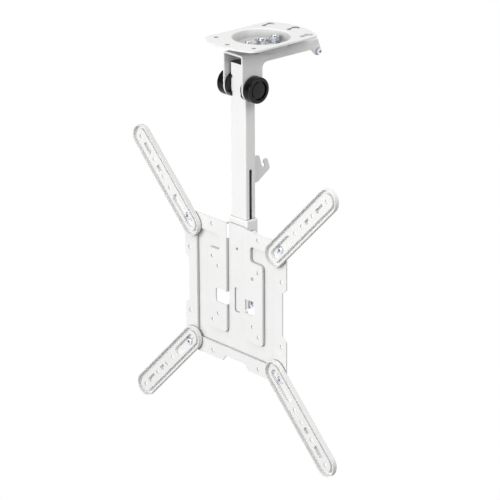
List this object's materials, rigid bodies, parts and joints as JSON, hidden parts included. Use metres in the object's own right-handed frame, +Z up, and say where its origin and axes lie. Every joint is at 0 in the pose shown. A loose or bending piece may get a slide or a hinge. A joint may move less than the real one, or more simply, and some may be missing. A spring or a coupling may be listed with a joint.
{
  "type": "folding ceiling tv mount",
  "caption": "Folding ceiling mount for a flat screen: a swivelling bracket carries a telescopic tube with a stamped screen plate and turning extension arms.",
  "frame": {"origin": "middle of the ceiling plate's top face, on the swivel axis", "axes": "+Z up into the ceiling, -Y towards the screen at rest, +X to the right of someone who watches the screen"},
  "size_m": [0.4358, 0.1744, 0.6013],
  "materials": {
    "powder_coat": "satin white powder coat with a faint orange-peel texture",
    "black_plastic": "black moulded plastic, satin on the ring and finely grained on the face",
    "white_plastic": "white moulded plastic, slightly softer than the paint",
    "zinc": "bright zinc-plated steel with turned and rolled marks",
    "brass": "turned brass"
  },
  "bodies": {
    "ceiling": {"ceiling_plate": "powder_coat"},
    "bracket": {"folding_bracket": "powder_coat", "swivel_bolts": "zinc", "swivel_washers": "zinc", "swivel_nuts": "zinc", "latch_screw": "zinc", "latch_nut": "zinc"},
    "carrier": {"guide_disc_left": "black_plastic", "guide_disc_right": "black_plastic", "pivot_spindle": "zinc", "knob_washers": "zinc"},
    "left_knob": {"knob_left": "black_plastic", "knob_insert_left": "brass"},
    "right_knob": {"knob_right": "black_plastic", "knob_insert_right": "brass"},
    "upper": {"upper_tube": "powder_coat", "tube_plug": "black_plastic", "hook_bracket": "powder_coat", "hook_rivets": "zinc"},
    "lower": {"lower_tube": "powder_coat", "guide_bush": "white_plastic", "height_bolts": "zinc", "height_nuts": "zinc", "height_washers": "zinc", "vesa_plate": "powder_coat", "arm_screws": "zinc", "arm_nuts": "zinc"},
    "upper_left_arm": {"arm_upper_left": "powder_coat"},
    "upper_right_arm": {"arm_upper_right": "powder_coat"},
    "lower_left_arm": {"arm_lower_left": "powder_coat"},
    "lower_right_arm": {"arm_lower_right": "powder_coat"}
  },
  "joints": [
    {"name": "swivel", "type": "hinge", "parent": "ceiling", "child": "bracket", "pos_m": [0, 0, 0], "axis": [0, 0, 1], "range_deg": [-60, 60]},
    {"name": "fold", "type": "hinge", "parent": "bracket", "child": "carrier", "pos_m": [0, -0.0355, -0.066], "axis": [1, 0, 0], "range_deg": [0, 92]},
    {"name": "tube_pull_out", "type": "slide", "parent": "carrier", "child": "upper", "axis": [0, 0, -1], "range_m": [0, 0.0155]},
    {"name": "height", "type": "slide", "parent": "upper", "child": "lower", "axis": [0, 0, 1], "range_m": [0, 0.051]},
    {"name": "left_knob_turn", "type": "hinge", "parent": "carrier", "child": "left_knob", "pos_m": [-0.0283, -0.0355, -0.066], "axis": [-1, 0, 0], "range_deg": [0, 360]},
    {"name": "right_knob_turn", "type": "hinge", "parent": "carrier", "child": "right_knob", "pos_m": [0.0283, -0.0355, -0.066], "axis": [1, 0, 0], "range_deg": [0, 360]},
    {"name": "upper_left_arm_turn", "type": "hinge", "parent": "lower", "child": "upper_left_arm", "pos_m": [-0.1, -0.0531, -0.2834], "axis": [0, 1, 0], "range_deg": [-45, 45]},
    {"name": "upper_right_arm_turn", "type": "hinge", "parent": "lower", "child": "upper_right_arm", "pos_m": [0.1, -0.0531, -0.2834], "axis": [0, 1, 0], "range_deg": [-45, 45]},
    {"name": "lower_left_arm_turn", "type": "hinge", "parent": "lower", "child": "lower_left_arm", "pos_m": [-0.1, -0.0531, -0.4834], "axis": [0, 1, 0], "range_deg": [-45, 45]},
    {"name": "lower_right_arm_turn", "type": "hinge", "parent": "lower", "child": "lower_right_arm", "pos_m": [0.1, -0.0531, -0.4834], "axis": [0, 1, 0], "range_deg": [-45, 45]}
  ],
  "couplings": [
    {"joint": "tube_pull_out", "follows": "fold", "m_per_rad": 0.00965}
  ]
}
